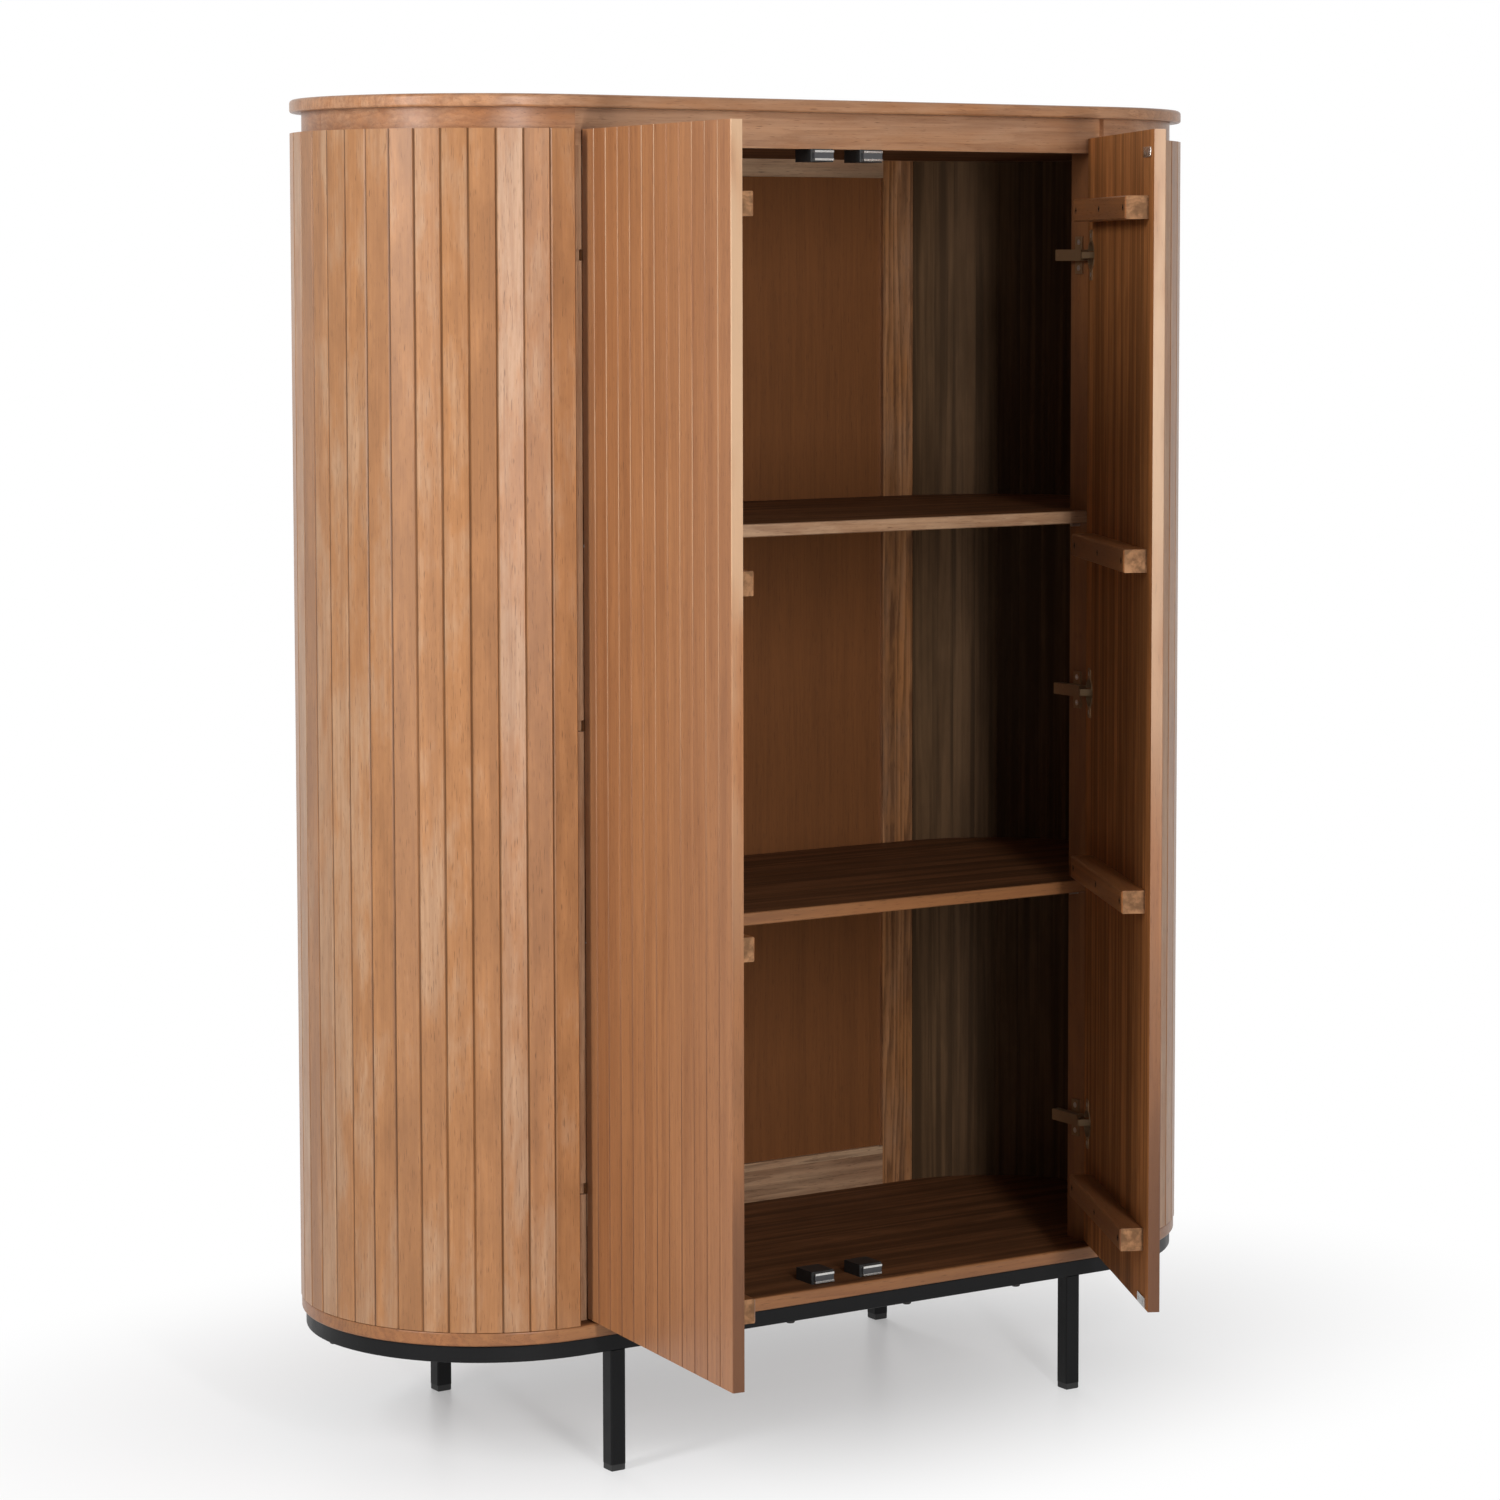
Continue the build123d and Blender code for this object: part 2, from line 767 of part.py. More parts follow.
for side_name, side, angle in SIDES:
    frame = door_frame(side, angle)
    cup_x = along_door(side, cup_edge_distance)
    cup_planes = [door_face(frame, cup_x, door_inner, height) for height in hinge_heights]
    cup_screw_planes = [
        door_face(frame, cup_x, door_inner + cup_ear_thickness, height + lift)
        for height in hinge_heights
        for lift in (-cup_screw_spacing / 2, cup_screw_spacing / 2)
    ]
    batten_face = door_inner + batten_thickness
    batten_screw_planes = [
        door_face(frame, along_door(side, place), batten_face, height)
        for height in batten_heights
        for place in batten_screw_places
    ]
    strike_x = along_door(side, strike_middle)
    strike_planes = [door_face(frame, strike_x, door_inner, level) for level in strike_levels]
    strike_screw_planes = [
        door_face(frame, strike_x + shift, door_inner + strike_thickness, level)
        for level in strike_levels
        for shift in (-strike_screw_spacing / 2, strike_screw_spacing / 2)
    ]
    small_screw_planes = cup_screw_planes + strike_screw_planes

    with BuildPart() as door_slats:
        with BuildSketch(frame.offset(door_bottom)):
            for number in range(door_slat_count):
                middle = along_door(side, first_slat_middle + number * slat_step)
                with Locations((middle, door_outer)):
                    Polygon(
                        (-door_slat_width / 2 + door_slat_bevel, 0),
                        (door_slat_width / 2 - door_slat_bevel, 0),
                        (door_slat_width / 2, door_slat_bevel),
                        (door_slat_width / 2, slat_thickness),
                        (-door_slat_width / 2, slat_thickness),
                        (-door_slat_width / 2, door_slat_bevel),
                        align=None,
                    )
        extrude(amount=door_height)
        for plane in cup_planes:
            with BuildSketch(plane):
                Circle(cup_diameter / 2)
            extrude(amount=-cup_depth, mode=Mode.SUBTRACT)
        screws(small_screw_planes, door_screw, Mode.SUBTRACT)
        screws(batten_screw_planes, batten_screw, Mode.SUBTRACT)
    write(door_slats.part, f"{side_name}_door_slats")

    for name, height in zip(batten_names, batten_heights):
        with BuildPart() as batten:
            middle = along_door(side, (batten_start + batten_end) / 2)
            with BuildSketch(door_face(frame, middle, door_inner, height)):
                Rectangle(batten_end - batten_start, batten_height)
            extrude(amount=batten_thickness)
            inner_face = batten.faces().sort_by(Axis(frame.origin, frame.y_dir))[-1]
            chamfer(inner_face.edges(), batten_bevel)
            screws(batten_screw_planes, batten_screw, Mode.SUBTRACT)
        write(batten.part, f"{side_name}_door_{name}_batten")

    with BuildPart() as batten_screws:
        screws(batten_screw_planes, batten_screw)
        drive_recesses(batten_screw_planes, batten_screw)
    write(batten_screws.part, f"{side_name}_door_batten_screws")

    with BuildPart() as hinge_cups:
        for plane in cup_planes:
            with BuildSketch(plane):
                Circle(cup_diameter / 2)
            extrude(amount=-cup_depth)
            with BuildSketch(plane):
                Circle(cup_diameter / 2 + cup_rim_width)
                RectangleRounded(cup_ear_width, cup_ear_length, cup_ear_rounding)
            extrude(amount=cup_ear_thickness)
            with BuildSketch(plane.offset(cup_ear_thickness)):
                Circle(cup_diameter / 2 - cup_wall)
            extrude(amount=cup_wall - cup_depth - cup_ear_thickness, mode=Mode.SUBTRACT)
            with BuildSketch(plane.offset(cup_ear_thickness)):
                Rectangle(2 * cup_diameter, cup_slot_height)
            extrude(amount=cup_wall - cup_depth - cup_ear_thickness, mode=Mode.SUBTRACT)
        with Locations(*[frame.offset(height) for height in hinge_heights]):
            Cylinder(hinge_pin_diameter / 2, hinge_pin_length, mode=Mode.SUBTRACT)
        screws(cup_screw_planes, door_screw, Mode.SUBTRACT)
    write(hinge_cups.part, f"{side_name}_hinge_cups")

    with BuildPart() as hinge_pins:
        with Locations(*[frame.offset(height) for height in hinge_heights]):
            Cylinder(hinge_pin_diameter / 2, hinge_pin_length)
    write(hinge_pins.part, f"{side_name}_hinge_pins")

    with BuildPart() as strike_plates:
        for plane in strike_planes:
            with BuildSketch(plane):
                RectangleRounded(strike_width, strike_height, strike_rounding)
            extrude(amount=strike_thickness)
        screws(strike_screw_planes, door_screw, Mode.SUBTRACT)
    write(strike_plates.part, f"{side_name}_strike_plates")

    with BuildPart() as small_screws:
        screws(small_screw_planes, door_screw)
        drive_recesses(small_screw_planes, door_screw)
    write(small_screws.part, f"{side_name}_door_small_screws")
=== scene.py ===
"""Tall storage cabinet with round slatted ends: its finishes, its floor, its light and its camera."""

from math import radians
from types import SimpleNamespace

import bpy
from mathutils import Euler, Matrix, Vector

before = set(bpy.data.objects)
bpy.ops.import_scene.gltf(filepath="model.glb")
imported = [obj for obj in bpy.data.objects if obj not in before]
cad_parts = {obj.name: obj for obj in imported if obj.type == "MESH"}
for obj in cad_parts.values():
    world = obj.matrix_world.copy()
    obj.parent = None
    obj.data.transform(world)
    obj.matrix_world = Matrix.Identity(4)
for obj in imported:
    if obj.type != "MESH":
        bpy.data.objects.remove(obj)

bl_info = {
    "name": "Slatted cabinet finishes",
    "version": (1, 0, 0),
    "blender": (4, 5, 0),
    "location": "3D View > Sidebar > Cabinet",
    "description": "Wood, steel and plastic finishes for a tall cabinet with slatted round ends",
    "category": "Material",
}

# Plan of the cabinet, in metres and degrees
END_CENTRE_X = 0.3775
END_RADIUS = 0.2275
ARC_PER_DEGREE = radians(1) * END_RADIUS
SLAT_PITCH_ANGLE = 7.95
FIRST_SLAT_ANGLE = 1.8
SIDES = {"left": -1, "right": 1}
HINGE_X = 0.362
HINGE_Y = -0.2226
DOOR_EDGE_X = 0.376
DOOR_SLAT_PITCH = 0.03121
DOOR_ANGLES = {"left": 95.6, "right": -64.3}
STAIN_DEPTH = 0.0135
STAVE_WIDTH = 0.09
STILE_SPACING = 0.2
BATTENS_TO_METRE = 5.0
LEVELS_TO_METRE = 9.0

# Numbers that keep the boards of one group apart from those of the next
END_NUMBERS = 40.0
DOOR_NUMBERS = {"left": 70.0, "right": 130.0}
LEVEL_NUMBERS = 17.0
RAIL_NUMBERS = 3.0
SHEET_NUMBER = 1.0

# Figure of the wood, in waves to the metre: across the grain, through the board and along the grain
WANDER_WAVES = (9.0, 9.0, 1.3)
SEASON_WAVES = (45.0, 45.0, 2.0)
STREAK_WAVES = (75.0, 75.0, 1.6)
FIBRE_WAVES = (480.0, 480.0, 9.0)
PORE_WAVES = (1100.0, 1100.0, 60.0)
CLOUD_WAVES = (22.0, 22.0, 6.0)
MOTTLE_WAVES = (110.0, 110.0, 18.0)
WEAR_WAVES = (12.0, 12.0, 3.0)

# How far a board's figure is moved from the next board's, and how the rings spread
BOARD_SHIFT = (3.1, 1.7, 9.0)
HEART_STRIP = 0.06
HEART_WANDER = 4.0
SEASON_SPREAD = 4.0

# A board's own share of the tones, and how much its fibres, mottle and stained patches show
TONE_START = 0.15
TONE_SPREAD = 0.7
TONE_DRIFT = 5.0
FIBRE_STRENGTH = 0.22
MOTTLE_STRENGTH = 0.45
STAIN_PATCHES = 0.5

# Where a mark starts to show and where it is full, in its own noise or ring from 0 to 1
EARLY_WOOD = (0.15, 0.85)
LATE_WOOD = (1.0, 0.88)
STREAK_BAND = (0.35, 0.7)
FIBRE_BAND = (0.4, 0.75)
MOTTLE_BAND = (0.42, 0.72)
PORE_BAND = (0.64, 0.72)
INNER_STREAK_BAND = (0.38, 0.62)
INNER_PATCH_BAND = (0.35, 0.7)
RUB_PATCHES = (0.38, 0.58)
DIRT_PATCHES = (0.3, 0.6)
SCRATCH_BAND = (0.62, 0.72)
PALE_RUB_BAND = (0.55, 0.75)

# How squarely a face looks inwards, along its door or upwards before a stain shows, and when it is full
DOOR_INSIDE_FACING = (0.6, 0.9)
BATTEN_END_FACING = (0.7, 0.9)
BOARD_FACING = (0.5, 0.95)

# Joints between slats, where 0.5 is the very edge of a slat, and heights in metres
CRACK_EDGE = (0.445, 0.48)
RUBBED_EDGE = (0.46, 0.485)
RUBBED_HEIGHT = (0.45, 1.3)
DIRTY_HEIGHT = (0.25, 1.0)
RUB_AT_FOOT = 0.1
DIRT_LEAST = 0.4

# Satin lacquer
WOOD_ROUGHNESS = 0.36
WOOD_REFLECTION = 0.08
LACQUER_ROUGHNESS = 0.32
RELIEF_STRENGTH = 0.3

# Metal and plastic, in waves to the metre
SMEAR_WAVES = (30.0, 30.0, 30.0)
SCRATCH_WAVES = (2500.0, 300.0, 120.0)
MOULDING_WAVES = (1800.0, 1800.0, 1800.0)
PALE_RUB_WAVES = (120.0, 120.0, 60.0)
METAL_RELIEF = 0.0003
PLASTIC_RELIEF = 0.0002
PLASTIC_STRENGTH = 0.2

# Floor, which is white beyond the cabinet's shadow
FLOOR_WAVES = (60.0, 60.0, 1.0)
FLOOR_ROUGHNESS = 0.3
FLOOR_REFLECTION = 0.12
FADE_CENTRE = (0.0, -0.15, 0.0)
FADE_SHAPE = (0.62, 1.0, 0.0)
FADE_REACH = (0.1, 0.8)
FADE_LEAST = 0.25

# Lights: where each stands, what it looks at, and its width and height
WHITE = (1.0, 1.0, 1.0, 1.0)
KEY_LIGHT = {"place": (-2.85, -0.8, 2.2), "aim": (-0.3, 0, 1.2), "width": 0.6, "height": 1.4}
SIDE_LIGHT = {"place": (-2.85, -0.8, 1.2), "aim": (-0.3, 0, 1.2), "width": 0.5, "height": 2.0}
BACK_LIGHT = {"place": (0.9, 3.3, 1.5), "aim": (0, 0, 1.0), "width": 1.4, "height": 1.8}
FRONT_LIGHT = {"place": (-0.92, -3.43, 1.5), "aim": (0, 0, 1.2), "width": 0.2, "height": 2.2}

# Camera that took the picture, in metres, degrees and pixels
PHOTO_SIZE = 1500
CAMERA_YAW = 32.7524
CAMERA_PITCH = 4.4809
CAMERA_ROLL = -0.1033
CAMERA_DISTANCE = 5.2338
CAMERA_ASIDE = -0.004
CAMERA_HEIGHT = 1.4034
FOCAL_PIXELS = 4241.6
CENTRE_ROW = 600
SENSOR_WIDTH = 36.0


# Reading and joining material nodes


def node(tree, kind, inputs=None, **settings):
    """Adds a node, sets it up, and gives each input a value or a link."""
    made = tree.nodes.new(kind)
    for name, value in settings.items():
        setattr(made, name, value)
    for key, value in (inputs or {}).items():
        if isinstance(value, bpy.types.NodeSocket):
            tree.links.new(value, made.inputs[key])
        else:
            made.inputs[key].default_value = value
    return made


def sum_of(tree, operation, *values):
    """One Math node's result."""
    return node(tree, "ShaderNodeMath", dict(enumerate(values)), operation=operation).outputs[0]


def stretched(tree, vector, scale):
    """The vector with each axis scaled by its own amount."""
    return node(tree, "ShaderNodeVectorMath", {0: vector, 1: scale}, operation="MULTIPLY").outputs[0]


def added(tree, first, second):
    """Two vectors added."""
    return node(tree, "ShaderNodeVectorMath", {0: first, 1: second}, operation="ADD").outputs[0]


def parts_of(tree, vector):
    """The three parts of a vector."""
    made = node(tree, "ShaderNodeSeparateXYZ", {0: vector})
    return made.outputs[0], made.outputs[1], made.outputs[2]


def joined(tree, x, y, z):
    """A vector made of three parts."""
    return node(tree, "ShaderNodeCombineXYZ", {0: x, 1: y, 2: z}).outputs[0]


def length_of(tree, first, second):
    """How far a point lies from the middle, from its two distances."""
    squares = [sum_of(tree, "POWER", value, 2.0) for value in (first, second)]
    return sum_of(tree, "SQRT", sum_of(tree, "ADD", *squares))


def noise(tree, point, waves, detail, roughness=0.5):
    """Noise from 0 to 1 at a point, with its own waves to the metre each way."""
    made = node(
        tree,
        "ShaderNodeTexNoise",
        {"Vector": stretched(tree, point, waves), "Scale": 1.0, "Detail": detail, "Roughness": roughness},
    )
    return made.outputs["Fac"]


def band(tree, value, low, high, out_low=0.0, out_high=1.0):
    """Maps low to high onto out_low to out_high, smoothly and held at its ends."""
    made = node(
        tree,
        "ShaderNodeMapRange",
        {"Value": value, "From Min": low, "From Max": high, "To Min": out_low, "To Max": out_high},
        interpolation_type="SMOOTHSTEP",
    )
    return made.outputs["Result"]


def blended(tree, amount, first, second):
    """Two colours mixed by an amount."""
    made = node(tree, "ShaderNodeMix", {"Factor": amount}, data_type="RGBA")
    for socket, value in ((made.inputs[6], first), (made.inputs[7], second)):
        if isinstance(value, bpy.types.NodeSocket):
            tree.links.new(value, socket)
        else:
            socket.default_value = value
    return made.outputs[2]


def layered(tree, face, mask, strength, shade):
    """A face with a shade laid over it wherever a mask is, at a strength."""
    return blended(tree, sum_of(tree, "MULTIPLY", mask, strength), face, shade)


def colour(values):
    """A colour property as four numbers."""
    return (*values, 1.0)


def shaded(values, share):
    """A colour property, lighter or darker."""
    return colour([share * value for value in values])


def new_finish(name):
    """An empty material with its surface shader."""
    finish = bpy.data.materials.new(name)
    finish.use_nodes = True
    tree = finish.node_tree
    return finish, tree, tree.nodes["Principled BSDF"]


def paint(finish, *names):
    """Gives a finish to parts of the cabinet."""
    for name in names:
        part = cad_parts[name]
        part.data.materials.clear()
        part.data.materials.append(finish)


def object_point(tree):
    """A point of a piece, in the piece's own space."""
    return node(tree, "ShaderNodeTexCoord").outputs["Object"]


def face_normal(tree):
    """Which way a face looks, in the piece's own space, so that it goes with a door that swings."""
    return node(
        tree,
        "ShaderNodeVectorTransform",
        {"Vector": node(tree, "ShaderNodeNewGeometry").outputs["True Normal"]},
        vector_type="NORMAL",
        convert_from="WORLD",
        convert_to="OBJECT",
    ).outputs["Vector"]


def shows_white(tree):
    """One for the rays that show the white surroundings: straight, mirrored or through glass."""
    path = node(tree, "ShaderNodeLightPath")
    seen = sum_of(tree, "MAXIMUM", path.outputs["Is Camera Ray"], path.outputs["Is Glossy Ray"])
    return sum_of(tree, "MAXIMUM", seen, path.outputs["Is Transmission Ray"])


# Where a point lies in its board. Each place gives the point across the grain, through the board
# and along the grain, then the board's number, how far across the board the point is from 0 to 1,
# and where the inner stain lies. The last two are None where a board has no joints or no stain.


def end_angle(tree, x, y):
    """Angle round an end of the plan, from straight ahead, in degrees, and the distance out."""
    out = sum_of(tree, "SUBTRACT", sum_of(tree, "ABSOLUTE", x), END_CENTRE_X)
    turn = sum_of(tree, "ARCTAN2", out, sum_of(tree, "MULTIPLY", y, -1.0))
    return sum_of(tree, "DEGREES", turn), out


def round_end_place(tree):
    """Upright slats that stand round the two ends, stained darker inside."""
    x, y, z = parts_of(tree, object_point(tree))
    angle, out = end_angle(tree, x, y)
    count = sum_of(tree, "DIVIDE", sum_of(tree, "SUBTRACT", angle, FIRST_SLAT_ANGLE), SLAT_PITCH_ANGLE)
    side = sum_of(tree, "MULTIPLY", sum_of(tree, "SIGN", x), END_NUMBERS)
    number = sum_of(tree, "ADD", sum_of(tree, "FLOOR", count), side)
    across = sum_of(tree, "MULTIPLY", angle, ARC_PER_DEGREE)
    depth = sum_of(tree, "SUBTRACT", END_RADIUS, length_of(tree, out, y))
    stained = band(tree, depth, 0.92 * STAIN_DEPTH, STAIN_DEPTH)
    return joined(tree, across, depth, z), number, sum_of(tree, "FRACT", count), stained


def turned_shut(tree, vector, side, centre=(0.0, 0.0, 0.0)):
    """A point or a direction of a door, turned back to where it is when the door is shut."""
    made = node(
        tree,
        "ShaderNodeVectorRotate",
        {"Vector": vector, "Center": centre, "Angle": radians(DOOR_ANGLES[side])},
        rotation_type="Z_AXIS",
    )
    return made.outputs[0]


def door_point(tree, side):
    """A point of a door when it is shut."""
    return turned_shut(tree, object_point(tree), side, (SIDES[side] * HINGE_X, HINGE_Y, 0.0))


def door_facing(tree, side):
    """Which way a face of a door looks once the door is shut: along it and into the cabinet."""
    sideways, inwards, _ = parts_of(tree, turned_shut(tree, face_normal(tree), side))
    return sum_of(tree, "ABSOLUTE", sideways), inwards


def door_slat_place(tree, side):
    """Upright slats of one door, counted from the hinges, stained darker inside."""
    x, y, z = parts_of(tree, door_point(tree, side))
    from_hinge = sum_of(tree, "SUBTRACT", DOOR_EDGE_X, sum_of(tree, "MULTIPLY", x, SIDES[side]))
    count = sum_of(tree, "DIVIDE", from_hinge, DOOR_SLAT_PITCH)
    number = sum_of(tree, "ADD", sum_of(tree, "FLOOR", count), DOOR_NUMBERS[side])
    depth = sum_of(tree, "SUBTRACT", y, HINGE_Y)
    _, inwards = door_facing(tree, side)
    stained = band(tree, inwards, *DOOR_INSIDE_FACING)
    return joined(tree, from_hinge, depth, z), number, sum_of(tree, "FRACT", count), stained


def batten_place(tree, side):
    """Level battens inside a door, each with its own number and with paler ends."""
    x, y, z = parts_of(tree, door_point(tree, side))
    number = sum_of(tree, "FLOOR", sum_of(tree, "MULTIPLY", z, BATTENS_TO_METRE))
    sideways, _ = door_facing(tree, side)
    return joined(tree, z, y, x), number, None, band(tree, sideways, *BATTEN_END_FACING)


def level_number(tree, z):
    """The number of the level that a board lies at."""
    return sum_of(tree, "FLOOR", sum_of(tree, "MULTIPLY", z, LEVELS_TO_METRE))


def level_place(tree):
    """Rails whose grain runs from side to side, each with its own number."""
    x, y, z = parts_of(tree, object_point(tree))
    return joined(tree, y, z, x), level_number(tree, z), None, None


def stave_place(tree):
    """Boards of staves glued edge to edge, stained darker on their top and underside."""
    x, y, z = parts_of(tree, object_point(tree))
    count = sum_of(tree, "DIVIDE", y, STAVE_WIDTH)
    number = sum_of(tree, "MULTIPLY_ADD", level_number(tree, z), LEVEL_NUMBERS, sum_of(tree, "FLOOR", count))
    upwards = sum_of(tree, "ABSOLUTE", parts_of(tree, face_normal(tree))[2])
    stained = band(tree, upwards, *BOARD_FACING)
    return joined(tree, y, z, x), number, sum_of(tree, "FRACT", count), stained


def ring_place(tree):
    """Rails that run round the plan, with the grain along them."""
    x, y, z = parts_of(tree, object_point(tree))
    angle, out = end_angle(tree, x, y)
    side = sum_of(tree, "SIGN", x)
    bend = sum_of(tree, "MULTIPLY", sum_of(tree, "MULTIPLY", angle, ARC_PER_DEGREE), side)
    on_end = sum_of(tree, "GREATER_THAN", out, 0.0)
    along = node(tree, "ShaderNodeMix", {0: on_end, 2: x, 3: bend}).outputs[0]
    end = sum_of(tree, "MULTIPLY", on_end, side)
    number = sum_of(tree, "ADD", sum_of(tree, "MULTIPLY", end, RAIL_NUMBERS), sum_of(tree, "SIGN", y))
    return joined(tree, z, y, along), number, None, None


def upright_place(tree):
    """Stiles whose grain runs up, each with its own number."""
    x, y, z = parts_of(tree, object_point(tree))
    number = sum_of(tree, "FLOOR", sum_of(tree, "DIVIDE", x, STILE_SPACING))
    return joined(tree, x, y, z), number, None, None


def panel_place(tree):
    """One sheet whose grain runs up."""
    return object_point(tree), SHEET_NUMBER, None, None


# Wood


def growth_rings(tree, look, point, shifted, wander, chance):
    """Growth rings: cones round a heart that lies beside the board."""
    along = parts_of(tree, point)[2]
    split = node(tree, "ShaderNodeSeparateColor", {0: chance})
    red, green, blue = split.outputs[0], split.outputs[1], split.outputs[2]
    beside = sum_of(tree, "MULTIPLY", sum_of(tree, "SUBTRACT", red, 0.5), look.heart_distance)
    tilt = sum_of(tree, "MULTIPLY", sum_of(tree, "SUBTRACT", green, 0.5), look.heart_tilt)
    under = sum_of(tree, "MULTIPLY_ADD", along, tilt, sum_of(tree, "MULTIPLY", blue, look.heart_distance))
    under = sum_of(tree, "MULTIPLY_ADD", wander, look.grain_wander * HEART_WANDER, under)
    sideways = sum_of(tree, "WRAP", parts_of(tree, shifted)[0], HEART_STRIP, -HEART_STRIP)
    sideways = sum_of(tree, "ADD", sideways, beside)
    rings = sum_of(tree, "DIVIDE", length_of(tree, sideways, under), look.ring_width)
    season = noise(tree, shifted, SEASON_WAVES, 3.0)
    ring = sum_of(tree, "FRACT", sum_of(tree, "MULTIPLY_ADD", season, SEASON_SPREAD, rings))
    return sum_of(tree, "MULTIPLY", band(tree, ring, *EARLY_WOOD), band(tree, ring, *LATE_WOOD))


def board_grain(tree, look, point, chance):
    """The figure of a board: its rings, streaks, fibres, pores, clouds and mottle, from 0 to 1."""
    shifted = added(tree, point, stretched(tree, chance, BOARD_SHIFT))
    wander = sum_of(tree, "SUBTRACT", noise(tree, shifted, WANDER_WAVES, 2.0), 0.5)
    drift = sum_of(tree, "MULTIPLY", wander, look.grain_wander)
    shifted = added(tree, shifted, joined(tree, drift, 0.0, 0.0))
    return SimpleNamespace(
        shifted=shifted,
        ring=growth_rings(tree, look, point, shifted, wander, chance),
        streak=noise(tree, shifted, STREAK_WAVES, 4.0, 0.55),
        fibre=noise(tree, shifted, FIBRE_WAVES, 3.0, 0.6),
        pore=band(tree, noise(tree, shifted, PORE_WAVES, 1.0), *PORE_BAND),
        cloud=noise(tree, shifted, CLOUD_WAVES, 5.0, 0.62),
        mottle=noise(tree, shifted, MOTTLE_WAVES, 4.0, 0.65),
    )


def board_tone(tree, tones, share, cloud, patchy):
    """A tone for each board, which drifts along it."""
    between = sum_of(tree, "MULTIPLY_ADD", share, TONE_SPREAD, TONE_START)
    drift = sum_of(tree, "SUBTRACT", cloud, 0.5)
    between = sum_of(tree, "MULTIPLY_ADD", drift, patchy * TONE_DRIFT, between)
    tone = node(tree, "ShaderNodeValToRGB", {"Fac": between})
    stops = tone.color_ramp.elements
    while len(stops) < len(tones):
        stops.new(1.0)
    for i, shade in enumerate(tones):
        stops[i].position = i / (len(tones) - 1)
        stops[i].color = colour(shade)
    return tone.outputs[0]


def joint_wear(tree, look, face, grain, within, height, dark, worn, groove):
    """Edges rubbed pale and grooves filled with dirt beside each joint, less evenly on worn slats."""
    edge = sum_of(tree, "ABSOLUTE", sum_of(tree, "SUBTRACT", within, 0.5))
    uneven = noise(tree, grain.shifted, WEAR_WAVES, 3.0)
    if worn:
        rub = sum_of(tree, "MULTIPLY", band(tree, edge, *RUBBED_EDGE), band(tree, uneven, *RUB_PATCHES))
        high_up = band(tree, height, *RUBBED_HEIGHT, RUB_AT_FOOT * worn, worn)
        face = layered(tree, face, rub, high_up, colour(look.rubbed_and_lit_edge))
    if groove:
        patches = band(tree, uneven, *DIRT_PATCHES, DIRT_LEAST * groove, groove)
        dirt = sum_of(tree, "MULTIPLY", band(tree, edge, *CRACK_EDGE), patches)
        if worn:
            dirt = sum_of(tree, "MULTIPLY", dirt, band(tree, height, *DIRTY_HEIGHT, 1.0, 0.0))
        face = blended(tree, dirt, face, shaded(dark, 0.5))
    return face


def inner_stain(tree, grain, inner, figure):
    """A stain that takes unevenly in the streaks, the clouds and the rings."""
    streaks = band(tree, grain.streak, *INNER_STREAK_BAND)
    shade = blended(tree, streaks, shaded(inner, 1.3), shaded(inner, 0.6))
    patches = band(tree, grain.cloud, *INNER_PATCH_BAND)
    shade = layered(tree, shade, patches, STAIN_PATCHES, shaded(inner, 0.5))
    return layered(tree, shade, grain.ring, figure, shaded(inner, 0.4))


def satin_lacquer(tree, shader, look, grain, bare):
    """Satin lacquer, duller over the pores and left off where the wood is only stained."""
    gloss = sum_of(tree, "MULTIPLY_ADD", sum_of(tree, "SUBTRACT", grain.cloud, 0.5), 0.2, WOOD_ROUGHNESS)
    gloss = sum_of(tree, "MULTIPLY_ADD", grain.fibre, 0.08, gloss)
    gloss = sum_of(tree, "MULTIPLY_ADD", grain.pore, 0.2, gloss)
    if bare is None:
        shader.inputs["Coat Weight"].default_value = look.lacquer
    else:
        gloss = sum_of(tree, "MULTIPLY_ADD", bare, 0.25, gloss)
        coat = sum_of(tree, "MULTIPLY_ADD", bare, -look.lacquer, look.lacquer)
        tree.links.new(coat, shader.inputs["Coat Weight"])
    shader.inputs["Coat Roughness"].default_value = LACQUER_ROUGHNESS
    shader.inputs["Specular IOR Level"].default_value = WOOD_REFLECTION
    tree.links.new(gloss, shader.inputs["Roughness"])


def add_relief(tree, shader, height, strength, distance):
    """Raises the surface by a height from 0 to 1."""
    relief = node(tree, "ShaderNodeBump", {"Strength": strength, "Distance": distance, "Height": height})
    tree.links.new(relief.outputs[0], shader.inputs["Normal"])


